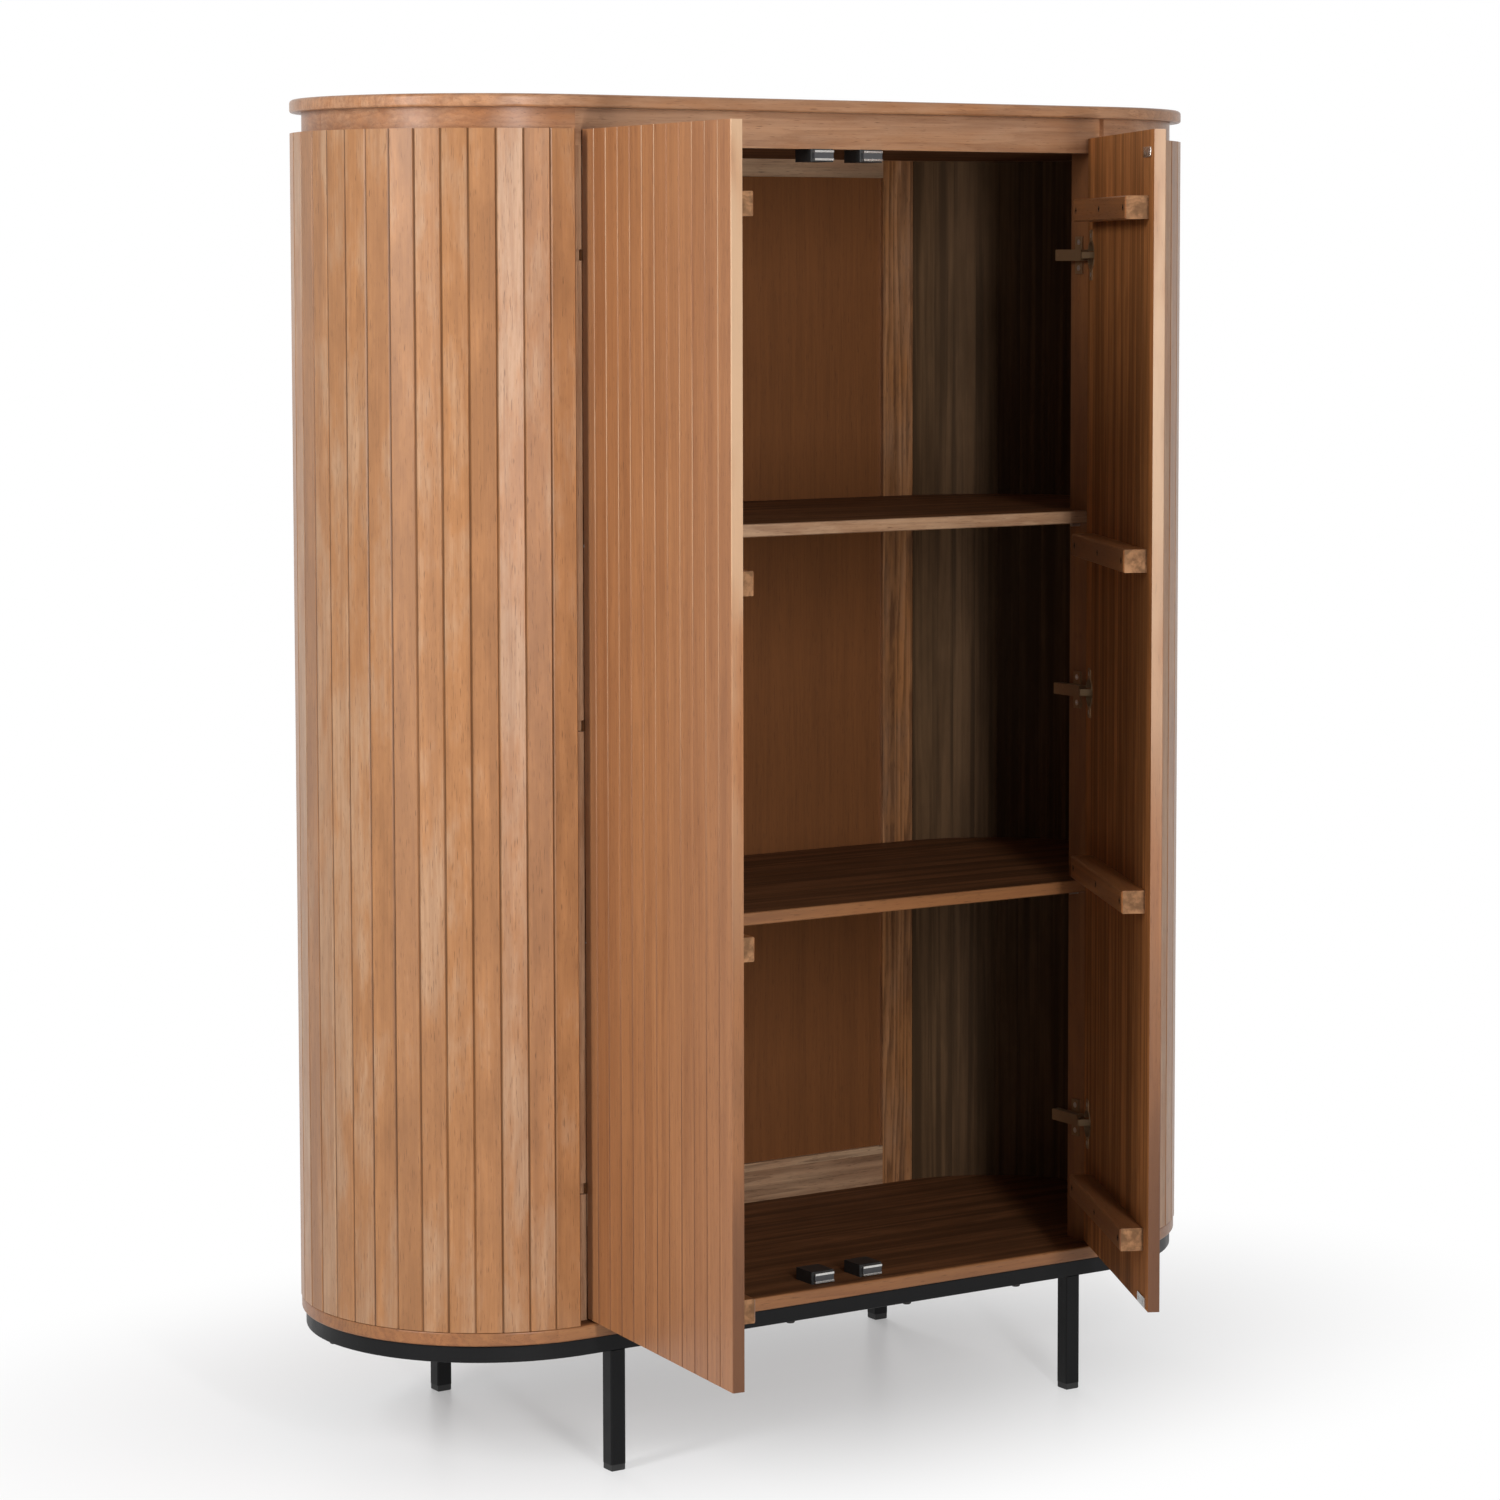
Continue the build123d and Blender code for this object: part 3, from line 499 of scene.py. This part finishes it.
def wood_finish(
    name,
    place,
    tones,
    dark,
    figure=0.35,
    streaks=0.4,
    pores=0.5,
    patchy=0.5,
    worn=0.0,
    groove=0.0,
    inner=None,
):
    """Lacquered wood: the tones of its boards, their grain, worn joints and a stain on inner faces."""
    look = bpy.context.scene.cabinet_wood
    finish, tree, shader = new_finish(name)
    point, number, within, stained = place(tree)
    chance = node(tree, "ShaderNodeTexWhiteNoise", {"W": number}, noise_dimensions="1D")
    grain = board_grain(tree, look, point, chance.outputs["Color"])

    # Colour, from the broadest marks to the finest
    face = board_tone(tree, tones, chance.outputs["Value"], grain.cloud, patchy)
    face = layered(tree, face, band(tree, grain.streak, *STREAK_BAND), streaks, colour(dark))
    face = layered(tree, face, grain.ring, figure, colour(dark))
    face = layered(tree, face, band(tree, grain.fibre, *FIBRE_BAND), FIBRE_STRENGTH, colour(dark))
    face = layered(tree, face, band(tree, grain.mottle, *MOTTLE_BAND), MOTTLE_STRENGTH, colour(tones[0]))
    face = layered(tree, face, grain.pore, pores, shaded(dark, 0.5))
    if within is not None:
        height = parts_of(tree, point)[2]
        face = joint_wear(tree, look, face, grain, within, height, dark, worn, groove)
    if inner:
        face = blended(tree, stained, face, inner_stain(tree, grain, inner, figure))
    tree.links.new(face, shader.inputs["Base Color"])

    satin_lacquer(tree, shader, look, grain, stained if inner else None)
    raised = sum_of(tree, "MULTIPLY_ADD", grain.fibre, 0.5, sum_of(tree, "MULTIPLY", grain.ring, 0.25))
    raised = sum_of(tree, "SUBTRACT", raised, sum_of(tree, "MULTIPLY", grain.pore, 0.8))
    add_relief(tree, shader, raised, RELIEF_STRENGTH, look.grain_relief)
    return finish


# Metal and plastic


def metal_finish(
    name, base, shine, metallic=1.0, scratch=0.25, speck=0.0, speck_size=0.0008, reflection=0.5
):
    """Bare, plated or painted metal with fine specks, smears and scratches."""
    finish, tree, shader = new_finish(name)
    point = object_point(tree)
    specks_to_metre = 1.0 / speck_size
    smear = noise(tree, point, SMEAR_WAVES, 4.0)
    grain = noise(tree, point, (specks_to_metre, specks_to_metre, specks_to_metre), 2.0)
    lines = noise(tree, point, SCRATCH_WAVES, 2.0)
    bare = colour([min(1.0, 1.5 * value + 0.03) for value in base])
    face = layered(tree, colour(base), smear, 0.35, shaded(base, 0.62))
    face = layered(tree, face, band(tree, lines, *SCRATCH_BAND), scratch, bare)
    tree.links.new(face, shader.inputs["Base Color"])
    shader.inputs["Metallic"].default_value = metallic
    shader.inputs["Specular IOR Level"].default_value = reflection
    gloss = sum_of(tree, "MULTIPLY_ADD", sum_of(tree, "SUBTRACT", smear, 0.5), 0.25, shine)
    tree.links.new(sum_of(tree, "MULTIPLY_ADD", grain, 0.08, gloss), shader.inputs["Roughness"])
    raised = sum_of(tree, "ADD", sum_of(tree, "MULTIPLY", grain, speck), sum_of(tree, "MULTIPLY", lines, 0.1))
    add_relief(tree, shader, raised, RELIEF_STRENGTH, METAL_RELIEF)
    return finish


def plastic_finish(name, base, shine):
    """Moulded plastic with a fine texture and a few pale rubs."""
    finish, tree, shader = new_finish(name)
    point = object_point(tree)
    grain = noise(tree, point, MOULDING_WAVES, 2.0)
    rub = band(tree, noise(tree, point, PALE_RUB_WAVES, 4.0), *PALE_RUB_BAND)
    pale = colour([value + 0.03 for value in base])
    tree.links.new(layered(tree, colour(base), rub, 0.3, pale), shader.inputs["Base Color"])
    tree.links.new(sum_of(tree, "MULTIPLY_ADD", grain, 0.2, shine), shader.inputs["Roughness"])
    add_relief(tree, shader, grain, PLASTIC_STRENGTH, PLASTIC_RELIEF)
    return finish


# Sizes and colours that a user would change


def colour_setting(name, description, default):
    """A colour that a user can change."""
    return bpy.props.FloatVectorProperty(
        name=name, description=description, default=default, subtype="COLOR", size=3, min=0.0, max=1.0
    )


def length_setting(name, description, default):
    """A length that a user can change."""
    return bpy.props.FloatProperty(
        name=name, description=description, default=default, min=0.0, unit="LENGTH"
    )


def power_setting(name, description, default):
    """The power of a light, which a user can change."""
    return bpy.props.FloatProperty(
        name=name, description=description, default=default, min=0.0, unit="POWER"
    )


def share_setting(name, description, default, most=1.0):
    """A plain number that a user can change."""
    return bpy.props.FloatProperty(
        name=name, description=description, default=default, min=0.0, max=most
    )


class CabinetWood(bpy.types.PropertyGroup):
    """Wood of the cabinet."""

    slat_tan: colour_setting("Tan slat", "Orange-tan slats round the ends", (0.405, 0.188, 0.076))
    slat_pale: colour_setting("Pale slat", "Pale slats round the ends", (0.455, 0.268, 0.152))
    slat_brown: colour_setting("Brown slat", "Brown slats round the ends", (0.32, 0.145, 0.057))
    slat_streak: colour_setting("Slat streak", "Dark streaks in the slats", (0.17, 0.075, 0.035))
    slat_inside: colour_setting("Slat inside", "Dark stain inside the round ends", (0.11, 0.06, 0.029))
    door_light: colour_setting("Door slat", "Lighter slats of the doors", (0.43, 0.19, 0.078))
    door_dark: colour_setting("Door slat, dark", "Darker slats of the doors", (0.35, 0.145, 0.056))
    door_streak: colour_setting("Door streak", "Dark streaks in the doors", (0.17, 0.06, 0.025))
    # Edges with the stain rubbed off on the door joints; the same colour is also the pale tone of painted
    # light on the upper shelf's front and the back rails
    rubbed_and_lit_edge: colour_setting("Rubbed edge", "Edges with the stain rubbed off", (0.56, 0.37, 0.23))
    frame_wood: colour_setting("Rails and boards", "Frieze, rails and boards", (0.46, 0.26, 0.15))
    frame_streak: colour_setting("Rail streak", "Streaks in rails and boards", (0.15, 0.06, 0.028))
    inside_wood: colour_setting("Inside panel", "Panel of the back wall", (0.21, 0.079, 0.027))
    inside_streak: colour_setting("Inside streak", "Dark streaks inside", (0.06, 0.024, 0.012))
    board_stain: colour_setting("Board stain", "Dark stain on the shelves", (0.165, 0.068, 0.028))
    door_inside: colour_setting("Door inside", "Stain inside the doors", (0.38, 0.145, 0.045))
    batten: colour_setting("Batten", "Battens inside the doors", (0.22, 0.09, 0.035))
    batten_end: colour_setting("Batten end", "Pale end grain of the battens", (0.34, 0.175, 0.085))
    back_wood: colour_setting("Back stile", "Stiles of the back wall", (0.42, 0.18, 0.066))
    lacquer: share_setting("Lacquer", "Strength of the clear satin lacquer", 0.45)
    ring_width: length_setting("Ring width", "From one growth ring to the next", 0.006)
    heart_distance: length_setting("Heart distance", "From the tree's heart to a board", 0.09)
    heart_tilt: share_setting("Heart tilt", "How far the heart leans out of a board", 0.09)
    grain_wander: length_setting("Grain wander", "How far the grain wanders in a board", 0.008)
    grain_relief: length_setting("Grain relief", "Depth of the grain to the touch", 0.0005)


class CabinetMetal(bpy.types.PropertyGroup):
    """Steel, plated and plastic pieces of the cabinet."""

    base_steel: colour_setting("Base steel", "Black coat of the steel base", (0.007, 0.007, 0.0075))
    plated_steel: colour_setting("Plated steel", "Catches and strike plates", (0.62, 0.61, 0.59))
    hinge_steel: colour_setting("Hinge steel", "Hinge cups, arms and plates", (0.34, 0.22, 0.12))
    dark_screw: colour_setting("Dark screw", "Blackened screws", (0.035, 0.032, 0.03))
    black_plastic: colour_setting("Black plastic", "Catches and foot plugs", (0.012, 0.012, 0.012))
    magnet: colour_setting("Magnet", "Magnets of the catches", (0.09, 0.09, 0.095))
    coat_grain: length_setting("Coat grain", "Size of the specks in the black coat", 0.0008)


class CabinetStage(bpy.types.PropertyGroup):
    """Floor and light round the cabinet."""

    floor_colour: colour_setting("Floor", "Pale floor", (0.86, 0.86, 0.87))
    floor_width: length_setting("Floor width", "Width of the floor", 14.0)
    key_power: power_setting("Key light", "Power of the high soft light at the left", 42.0)
    side_power: power_setting("Side light", "Power of the tall soft light at the left", 14.0)
    back_power: power_setting("Back light", "Power of the soft light behind", 50.0)
    front_power: power_setting("Front light", "Power of the narrow light in front", 70.0)
    sky: share_setting("Sky", "Strength of the even light from all round", 0.23, most=2.0)


SETTINGS = {"cabinet_wood": CabinetWood, "cabinet_metal": CabinetMetal, "cabinet_stage": CabinetStage}


# Operators: one for each group of like pieces, and one for the stage


class CABINET_OT_end_slats(bpy.types.Operator):
    """Finish the upright slats round both ends"""

    bl_idname = "cabinet.end_slats"
    bl_label = "End slats"

    def execute(self, context):
        look = context.scene.cabinet_wood
        finish = wood_finish(
            "Lacquered end slat",
            round_end_place,
            (look.slat_brown, look.slat_tan, look.slat_pale),
            look.slat_streak,
            figure=0.14,
            streaks=0.3,
            patchy=0.65,
            groove=0.7,
            inner=look.slat_inside,
        )
        paint(finish, "left_end_slats", "right_end_slats")
        return {"FINISHED"}


class CABINET_OT_door_slats(bpy.types.Operator):
    """Finish the slats of both doors"""

    bl_idname = "cabinet.door_slats"
    bl_label = "Door slats"

    def execute(self, context):
        look = context.scene.cabinet_wood
        for side in SIDES:
            finish = wood_finish(
                f"Stained {side} door slat",
                lambda tree, side=side: door_slat_place(tree, side),
                (look.door_dark, look.door_light),
                look.door_streak,
                figure=0.15,
                patchy=0.3,
                worn=0.85,
                groove=0.8,
                inner=look.door_inside,
            )
            paint(finish, f"{side}_door_slats")
        return {"FINISHED"}


class CABINET_OT_battens(bpy.types.Operator):
    """Finish the battens inside both doors"""

    bl_idname = "cabinet.battens"
    bl_label = "Door battens"

    def execute(self, context):
        look = context.scene.cabinet_wood
        for side in SIDES:
            finish = wood_finish(
                f"Stained {side} door batten",
                lambda tree, side=side: batten_place(tree, side),
                (look.batten, look.door_inside),
                look.door_streak,
                inner=look.batten_end,
            )
            paint(finish, *(f"{side}_door_{place}_batten" for place in ("bottom", "lower", "upper", "top")))
        return {"FINISHED"}


class CABINET_OT_boards(bpy.types.Operator):
    """Finish the top, ceiling and bottom boards and the shelves"""

    bl_idname = "cabinet.boards"
    bl_label = "Boards and shelves"

    def execute(self, context):
        look = context.scene.cabinet_wood
        streak = look.frame_streak
        # Painted light and shade: the upper shelf takes pale tones as painted light, and the lower shelf
        # takes the brown tones as painted shade; the bottom and ceiling boards share those brown tones
        brown_and_shaded_edge = (look.slat_brown, look.door_dark)
        pale_lit_edge = (look.rubbed_and_lit_edge, look.slat_pale)
        for name, tones, boards in (
            ("Stained board", brown_and_shaded_edge, ("bottom_board", "ceiling_board", "lower_shelf")),
            ("Stained board with a painted lit edge", pale_lit_edge, ("upper_shelf",)),
        ):
            finish = wood_finish(name, stave_place, tones, streak, figure=0.3, inner=look.board_stain)
            paint(finish, *boards)
        tones = (look.frame_wood, look.door_light)
        paint(wood_finish("Lacquered top board", stave_place, tones, streak, figure=0.3), "top_board")
        return {"FINISHED"}


class CABINET_OT_rails(bpy.types.Operator):
    """Finish the frieze and the front stiles"""

    bl_idname = "cabinet.rails"
    bl_label = "Rails and stiles"

    def execute(self, context):
        look = context.scene.cabinet_wood
        streak = look.frame_streak
        tones = (look.frame_wood, look.door_light)
        rail = wood_finish("Lacquered rail", ring_place, tones, streak, figure=0.25)
        paint(rail, "front_frieze_rail", "back_frieze_rail")
        # Painted shade: the left and right frieze rails take darker tones than the front and back rails,
        # standing in for the shadow under the top board's overhang
        tones = (look.door_dark, look.frame_wood)
        shaded_end_rail = wood_finish("End rail darkened as painted shade", ring_place, tones, streak, figure=0.25)
        paint(shaded_end_rail, "left_frieze_rail", "right_frieze_rail")
        tones = (look.frame_wood, look.door_dark)
        paint(wood_finish("Lacquered stile", upright_place, tones, streak), "front_left_stile")
        # Painted shade: the front right stile takes the darker batten tones in place of the shadow the right
        # door casts on it, while the left stile keeps the lacquered tones
        tones = (look.batten, look.door_inside)
        paint(wood_finish("Stile darkened as painted shade", upright_place, tones, look.door_streak), "front_right_stile")
        return {"FINISHED"}


class CABINET_OT_back_wall(bpy.types.Operator):
    """Finish the back stiles, rails and panel"""

    bl_idname = "cabinet.back_wall"
    bl_label = "Back wall"

    def execute(self, context):
        look = context.scene.cabinet_wood
        streak = look.inside_streak
        tones = (look.back_wood, look.frame_wood)
        upright = wood_finish("Back stile", upright_place, tones, streak, figure=0.55, streaks=0.6)
        paint(upright, "back_left_stile", "back_right_stile")
        # Partly own colour and partly painted light: the back rails are solid wood, lighter than the veneered
        # panel, and are made paler still in place of light that the frieze shades from them
        tones = (look.frame_wood, look.rubbed_and_lit_edge)
        level = wood_finish("Back rail, paler for painted light", level_place, tones, streak, figure=0.4)
        paint(level, "back_top_rail", "back_bottom_rail")
        tones = (look.inside_wood, look.inside_wood)
        panel = wood_finish(
            "Veneered back panel", panel_place, tones, streak, figure=0.08, streaks=0.15, pores=0.3
        )
        paint(panel, "back_panel")
        return {"FINISHED"}


class CABINET_OT_steel_base(bpy.types.Operator):
    """Finish the steel ring, its legs and the foot plugs"""

    bl_idname = "cabinet.steel_base"
    bl_label = "Steel base"

    def execute(self, context):
        look = context.scene.cabinet_metal
        coat = metal_finish(
            "Black powder coat",
            look.base_steel,
            shine=0.38,
            metallic=0.0,
            scratch=0.15,
            speck=0.8,
            speck_size=look.coat_grain,
            reflection=0.15,
        )
        paint(coat, *(f"{place}_base_tube" for place in ("front", "back", "left", "right")))
        paint(coat, *(f"{end}_{side}_leg" for end in ("front", "back") for side in SIDES))
        paint(plastic_finish("Foot plug plastic", look.black_plastic, shine=0.5), "foot_plugs")
        return {"FINISHED"}


class CABINET_OT_hinges(bpy.types.Operator):
    """Finish the hinge cups, pins, arms and mounting plates"""

    bl_idname = "cabinet.hinges"
    bl_label = "Hinges"

    def execute(self, context):
        look = context.scene.cabinet_metal
        steel = metal_finish("Dull hinge steel", look.hinge_steel, shine=0.46, metallic=0.8, speck=0.3)
        paint(steel, "left_hinge_cups", "right_hinge_cups", "hinge_arms", "hinge_mounting_plates")
        pin = metal_finish("Bright hinge pin", look.plated_steel, shine=0.25)
        paint(pin, "left_hinge_pins", "right_hinge_pins")
        return {"FINISHED"}


class CABINET_OT_catches(bpy.types.Operator):
    """Finish the magnetic catches and the strike plates"""

    bl_idname = "cabinet.catches"
    bl_label = "Catches and strike plates"

    def execute(self, context):
        look = context.scene.cabinet_metal
        paint(plastic_finish("Catch housing plastic", look.black_plastic, shine=0.42), "catch_housings")
        paint(metal_finish("Dull magnet", look.magnet, shine=0.55, metallic=0.6), "catch_magnets")
        plated = metal_finish("Plated steel", look.plated_steel, shine=0.22, scratch=0.4)
        paint(plated, "catch_pole_plates", "left_strike_plates", "right_strike_plates")
        return {"FINISHED"}


class CABINET_OT_screws(bpy.types.Operator):
    """Finish the screws and the shelf pins"""

    bl_idname = "cabinet.screws"
    bl_label = "Screws and shelf pins"

    def execute(self, context):
        look = context.scene.cabinet_metal
        dark = metal_finish("Blackened screw", look.dark_screw, shine=0.4)
        paint(dark, "base_screws", "left_door_batten_screws", "right_door_batten_screws")
        bright = metal_finish("Plated screw", look.plated_steel, shine=0.3)
        paint(bright, "hinge_plate_screws", "catch_screws", "shelf_pins")
        paint(bright, "left_door_small_screws", "right_door_small_screws")
        return {"FINISHED"}


# Stage


def floor_finish(look):
    """A pale, faintly glossy floor that turns white away from the cabinet."""
    finish, tree, shader = new_finish("Pale floor")
    point = object_point(tree)
    grain = noise(tree, point, FLOOR_WAVES, 4.0)
    face = layered(tree, colour(look.floor_colour), grain, 0.06, shaded(look.floor_colour, 0.93))
    tree.links.new(face, shader.inputs["Base Color"])
    shader.inputs["Specular IOR Level"].default_value = FLOOR_REFLECTION
    gloss = sum_of(tree, "MULTIPLY_ADD", grain, 0.08, FLOOR_ROUGHNESS)
    tree.links.new(gloss, shader.inputs["Roughness"])
    footprint = stretched(tree, added(tree, point, FADE_CENTRE), FADE_SHAPE)
    reach = node(tree, "ShaderNodeVectorMath", {0: footprint}, operation="LENGTH").outputs["Value"]
    away = sum_of(tree, "MULTIPLY", band(tree, reach, *FADE_REACH, FADE_LEAST, 1.0), shows_white(tree))
    white = node(tree, "ShaderNodeEmission", {"Color": WHITE, "Strength": 1.0})
    mixed = node(tree, "ShaderNodeMixShader", {0: away, 1: shader.outputs[0], 2: white.outputs[0]})
    tree.links.new(mixed.outputs[0], tree.nodes["Material Output"].inputs["Surface"])
    return finish


def lay_floor(look):
    """A wide floor under the feet."""
    bpy.ops.object.select_all(action="DESELECT")
    bpy.ops.mesh.primitive_plane_add(size=look.floor_width, location=(0, 0, 0))
    floor = bpy.context.object
    floor.name = "floor"
    floor.data.materials.append(floor_finish(look))


def set_surroundings(scene, look):
    """White all round, with a softer even light for the cabinet."""
    world = bpy.data.worlds.new("White surroundings")
    scene.world = world
    world.use_nodes = True
    tree = world.node_tree
    tree.nodes.clear()
    white = node(tree, "ShaderNodeBackground", {"Color": WHITE, "Strength": 1.0})
    even = node(tree, "ShaderNodeBackground", {"Color": WHITE, "Strength": look.sky})
    surfaces = {0: shows_white(tree), 1: even.outputs[0], 2: white.outputs[0]}
    mixed = node(tree, "ShaderNodeMixShader", surfaces)
    node(tree, "ShaderNodeOutputWorld", {"Surface": mixed.outputs[0]})


def soft_light(name, power, place, aim, width, height, mirrored=True):
    """A soft rectangular light that looks at a point, and that glossy faces may mirror or not."""
    bpy.ops.object.light_add(type="AREA", location=place)
    lamp = bpy.context.object
    lamp.name = name
    lamp.data.shape = "RECTANGLE"
    lamp.data.size = width
    lamp.data.size_y = height
    lamp.data.energy = power
    lamp.visible_glossy = mirrored
    lamp.rotation_euler = (Vector(aim) - Vector(place)).to_track_quat("-Z", "Y").to_euler()


def place_camera(scene):
    """The camera where the picture was taken from, with the picture's framing."""
    camera = bpy.data.cameras.new("camera")
    seat = bpy.data.objects.new("camera", camera)
    scene.collection.objects.link(seat)
    yaw, pitch, roll = radians(CAMERA_YAW), radians(CAMERA_PITCH), radians(CAMERA_ROLL)
    ahead = Euler((0, 0, -yaw)).to_matrix() @ Vector((0, 1, 0))
    right = Euler((0, 0, -yaw)).to_matrix() @ Vector((1, 0, 0))
    height = Vector((0, 0, CAMERA_HEIGHT))
    seat.location = -ahead * CAMERA_DISTANCE + right * CAMERA_ASIDE + height
    turn = Euler((radians(90) - pitch, 0, -yaw)).to_matrix() @ Euler((0, 0, roll)).to_matrix()
    seat.rotation_euler = turn.to_euler()
    camera.sensor_width = SENSOR_WIDTH
    camera.lens = FOCAL_PIXELS / PHOTO_SIZE * SENSOR_WIDTH
    camera.shift_y = (CENTRE_ROW - PHOTO_SIZE / 2) / PHOTO_SIZE
    scene.camera = seat


class CABINET_OT_stage(bpy.types.Operator):
    """Lay the floor, hang the lights and set up the camera"""

    bl_idname = "cabinet.stage"
    bl_label = "Floor, light and camera"

    def execute(self, context):
        look = context.scene.cabinet_stage
        lay_floor(look)
        set_surroundings(context.scene, look)
        soft_light("key_light", look.key_power, **KEY_LIGHT)
        soft_light("side_light", look.side_power, **SIDE_LIGHT)
        soft_light("back_light", look.back_power, **BACK_LIGHT, mirrored=False)
        soft_light("front_light", look.front_power, **FRONT_LIGHT)
        place_camera(context.scene)
        context.scene.view_settings.view_transform = "Standard"
        return {"FINISHED"}


OPERATORS = (
    CABINET_OT_end_slats,
    CABINET_OT_door_slats,
    CABINET_OT_battens,
    CABINET_OT_boards,
    CABINET_OT_rails,
    CABINET_OT_back_wall,
    CABINET_OT_steel_base,
    CABINET_OT_hinges,
    CABINET_OT_catches,
    CABINET_OT_screws,
    CABINET_OT_stage,
)


class CABINET_PT_sidebar(bpy.types.Panel):
    """The cabinet's pieces, sizes and colours"""

    bl_idname = "CABINET_PT_sidebar"
    bl_label = "Slatted cabinet"
    bl_space_type = "VIEW_3D"
    bl_region_type = "UI"
    bl_category = "Cabinet"

    def draw(self, context):
        for operator in OPERATORS:
            self.layout.operator(operator.bl_idname)
        for group in SETTINGS:
            settings = getattr(context.scene, group)
            for name in settings.bl_rna.properties.keys():
                if name not in ("rna_type", "name"):
                    self.layout.prop(settings, name)


def register():
    for group in SETTINGS.values():
        bpy.utils.register_class(group)
    for name, group in SETTINGS.items():
        setattr(bpy.types.Scene, name, bpy.props.PointerProperty(type=group))
    for operator in OPERATORS:
        bpy.utils.register_class(operator)
    bpy.utils.register_class(CABINET_PT_sidebar)


def unregister():
    bpy.utils.unregister_class(CABINET_PT_sidebar)
    for operator in reversed(OPERATORS):
        bpy.utils.unregister_class(operator)
    for name, group in SETTINGS.items():
        delattr(bpy.types.Scene, name)
        bpy.utils.unregister_class(group)


def main():
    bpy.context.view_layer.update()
    register()
    for operator in OPERATORS:
        group, name = operator.bl_idname.split(".")
        getattr(getattr(bpy.ops, group), name)()


if __name__ == "__main__":
    main()
